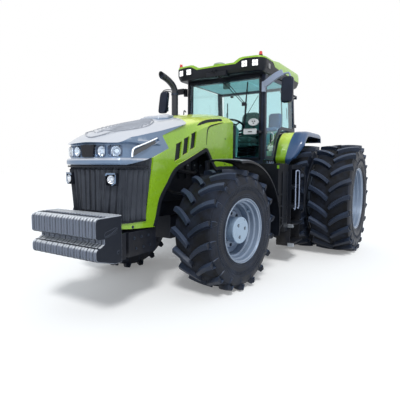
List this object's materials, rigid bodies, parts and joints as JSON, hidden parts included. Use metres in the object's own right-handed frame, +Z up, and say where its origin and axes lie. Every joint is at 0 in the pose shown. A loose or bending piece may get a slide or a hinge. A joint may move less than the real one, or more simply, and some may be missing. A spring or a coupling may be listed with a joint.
{
  "type": "farm tractor",
  "caption": "Large row-crop tractor with lifting hood, cab, steered front wheels, dual rear wheels, nose weights and a rear three-point linkage",
  "frame": {"origin": "on the ground, midway between the front face of the nose weights and the tips of the lower links, on the centre plane", "axes": "+Z up, -Y towards the nose, +X towards the driver's left"},
  "size_m": [4.12, 6.183, 3.4103],
  "materials": {
    "lime_paint": "smooth, semi-gloss lime green",
    "silver_paint": "smooth, semi-gloss silver grey",
    "black_plastic": "fine grain, satin black",
    "black_steel": "satin black",
    "cast_iron": "painted casting, dark grey",
    "steel": "plain steel",
    "tyre": "matt black rubber with deep lugs",
    "rim_paint": "silver enamel",
    "glass": "lightly tinted, blue green",
    "cab_trim": "grained dark grey green",
    "seat_cloth": "woven dark grey green",
    "lamp_white": "clear lens over white",
    "beacon_red": "translucent red"
  },
  "bodies": {
    "chassis": {"front_frame": "cast_iron", "weight_carrier": "cast_iron", "front_weights": "cast_iron", "engine_block": "cast_iron", "front_axle_housing": "cast_iron", "rear_housing": "cast_iron", "drawbar": "cast_iron", "top_link": "steel", "fuel_tank_left": "black_plastic", "fuel_tank_right": "black_plastic", "rear_fender_left": "lime_paint", "rear_fender_right": "lime_paint", "cowl": "black_plastic", "cab_steps": "black_steel", "cab_tub": "cab_trim", "front_hoop": "black_plastic", "rear_hoop": "black_plastic", "windshield": "glass", "rear_window": "glass", "right_window": "glass", "roof_visor": "black_plastic", "cab_roof": "lime_paint", "beacon_left": "beacon_red", "beacon_right": "beacon_red", "gps_receiver": "lamp_white", "dashboard": "cab_trim", "seat_base": "black_plastic", "operator_seat": "seat_cloth", "passenger_seat": "seat_cloth", "exhaust_stack": "black_steel", "mirror_left": "black_plastic", "mirror_right": "black_plastic", "side_lamp_left": "lamp_white", "side_lamp_right": "lamp_white"},
    "hood": {"hood_shell": "lime_paint", "nose_cap": "silver_paint", "grille": "black_plastic"},
    "tie_rod": {"tie_rod": "steel"},
    "door_left": {"door_frame": "black_plastic", "door_glass": "glass"},
    "steering_wheel": {"steering_wheel": "black_plastic"},
    "lift_arms": {"lift_arms": "cast_iron"},
    "knuckle_left": {"knuckle_left": "cast_iron", "front_fender_left": "black_plastic"},
    "front_wheel_left": {"front_rim_left": "rim_paint", "front_tyre_left": "tyre"},
    "rear_wheels_left": {"rear_rims_left": "rim_paint", "rear_inner_tyre_left": "tyre", "rear_outer_tyre_left": "tyre"},
    "lower_link_left": {"lower_link_left": "cast_iron"},
    "lift_rod_left": {"lift_rod_left": "steel"},
    "knuckle_right": {"knuckle_right": "cast_iron", "front_fender_right": "black_plastic"},
    "front_wheel_right": {"front_rim_right": "rim_paint", "front_tyre_right": "tyre"},
    "rear_wheels_right": {"rear_rims_right": "rim_paint", "rear_inner_tyre_right": "tyre", "rear_outer_tyre_right": "tyre"},
    "lower_link_right": {"lower_link_right": "cast_iron"},
    "lift_rod_right": {"lift_rod_right": "steel"}
  },
  "joints": [
    {"name": "steer_left", "type": "hinge", "parent": "chassis", "child": "knuckle_left", "pos_m": [0.657, -1.2065, 0.77928], "axis": [0, 0, 1], "range_deg": [-22, 38]},
    {"name": "front_wheel_spin_left", "type": "hinge", "parent": "knuckle_left", "child": "front_wheel_left", "pos_m": [0.93725, -1.24589, 0.77928], "axis": [0.9903, -0.1392, 0], "continuous": true},
    {"name": "rear_wheel_spin_left", "type": "hinge", "parent": "chassis", "child": "rear_wheels_left", "pos_m": [0.925, 1.8835, 0.99271], "axis": [1, 0, 0], "continuous": true},
    {"name": "steer_right", "type": "hinge", "parent": "chassis", "child": "knuckle_right", "pos_m": [-0.657, -1.2065, 0.77928], "axis": [0, 0, 1], "range_deg": [-22, 38]},
    {"name": "front_wheel_spin_right", "type": "hinge", "parent": "knuckle_right", "child": "front_wheel_right", "pos_m": [-0.93725, -1.16711, 0.77928], "axis": [0.9903, -0.1392, 0], "continuous": true},
    {"name": "rear_wheel_spin_right", "type": "hinge", "parent": "chassis", "child": "rear_wheels_right", "pos_m": [-0.925, 1.8835, 0.99271], "axis": [1, 0, 0], "continuous": true},
    {"name": "tie_rod_pin", "type": "hinge", "parent": "knuckle_left", "child": "tie_rod", "pos_m": [0.6904, -0.96884, 0.644], "axis": [0, 0, 1], "range_deg": [-38, 22]},
    {"name": "steering_wheel_turn", "type": "hinge", "parent": "chassis", "child": "steering_wheel", "pos_m": [0, 0.7535, 2.33], "axis": [0, 0.4695, 0.8829], "range_deg": [-264, 456]},
    {"name": "door_left_swing", "type": "hinge", "parent": "chassis", "child": "door_left", "pos_m": [0.838, 1.7555, 2.4], "axis": [0, 0, 1], "range_deg": [0, 55]},
    {"name": "hood_lift", "type": "hinge", "parent": "chassis", "child": "hood", "pos_m": [0, -0.2365, 2.262], "axis": [-1, 0, 0], "range_deg": [0, 40]},
    {"name": "hitch_lift", "type": "hinge", "parent": "chassis", "child": "lift_arms", "pos_m": [0, 2.0635, 1.23], "axis": [1, 0, 0], "range_deg": [-18, 28]},
    {"name": "lower_link_swing_left", "type": "hinge", "parent": "chassis", "child": "lower_link_left", "pos_m": [0.33, 2.2135, 0.56], "axis": [1, 0, 0], "range_deg": [-18, 28]},
    {"name": "lift_rod_pin_left", "type": "hinge", "parent": "lower_link_left", "child": "lift_rod_left", "pos_m": [0.314, 2.5735, 0.56], "axis": [1, 0, 0], "range_deg": [-28, 18]},
    {"name": "lower_link_swing_right", "type": "hinge", "parent": "chassis", "child": "lower_link_right", "pos_m": [-0.33, 2.2135, 0.56], "axis": [1, 0, 0], "range_deg": [-18, 28]},
    {"name": "lift_rod_pin_right", "type": "hinge", "parent": "lower_link_right", "child": "lift_rod_right", "pos_m": [-0.314, 2.5735, 0.56], "axis": [1, 0, 0], "range_deg": [-28, 18]}
  ],
  "couplings": [
    {"joint": "steer_right", "follows": "steer_left", "ratio": 1},
    {"joint": "tie_rod_pin", "follows": "steer_left", "ratio": -1},
    {"joint": "steering_wheel_turn", "follows": "steer_left", "ratio": 12},
    {"joint": "lower_link_swing_left", "follows": "hitch_lift", "ratio": 1},
    {"joint": "lift_rod_pin_left", "follows": "hitch_lift", "ratio": -1},
    {"joint": "lower_link_swing_right", "follows": "hitch_lift", "ratio": 1},
    {"joint": "lift_rod_pin_right", "follows": "hitch_lift", "ratio": -1}
  ]
}
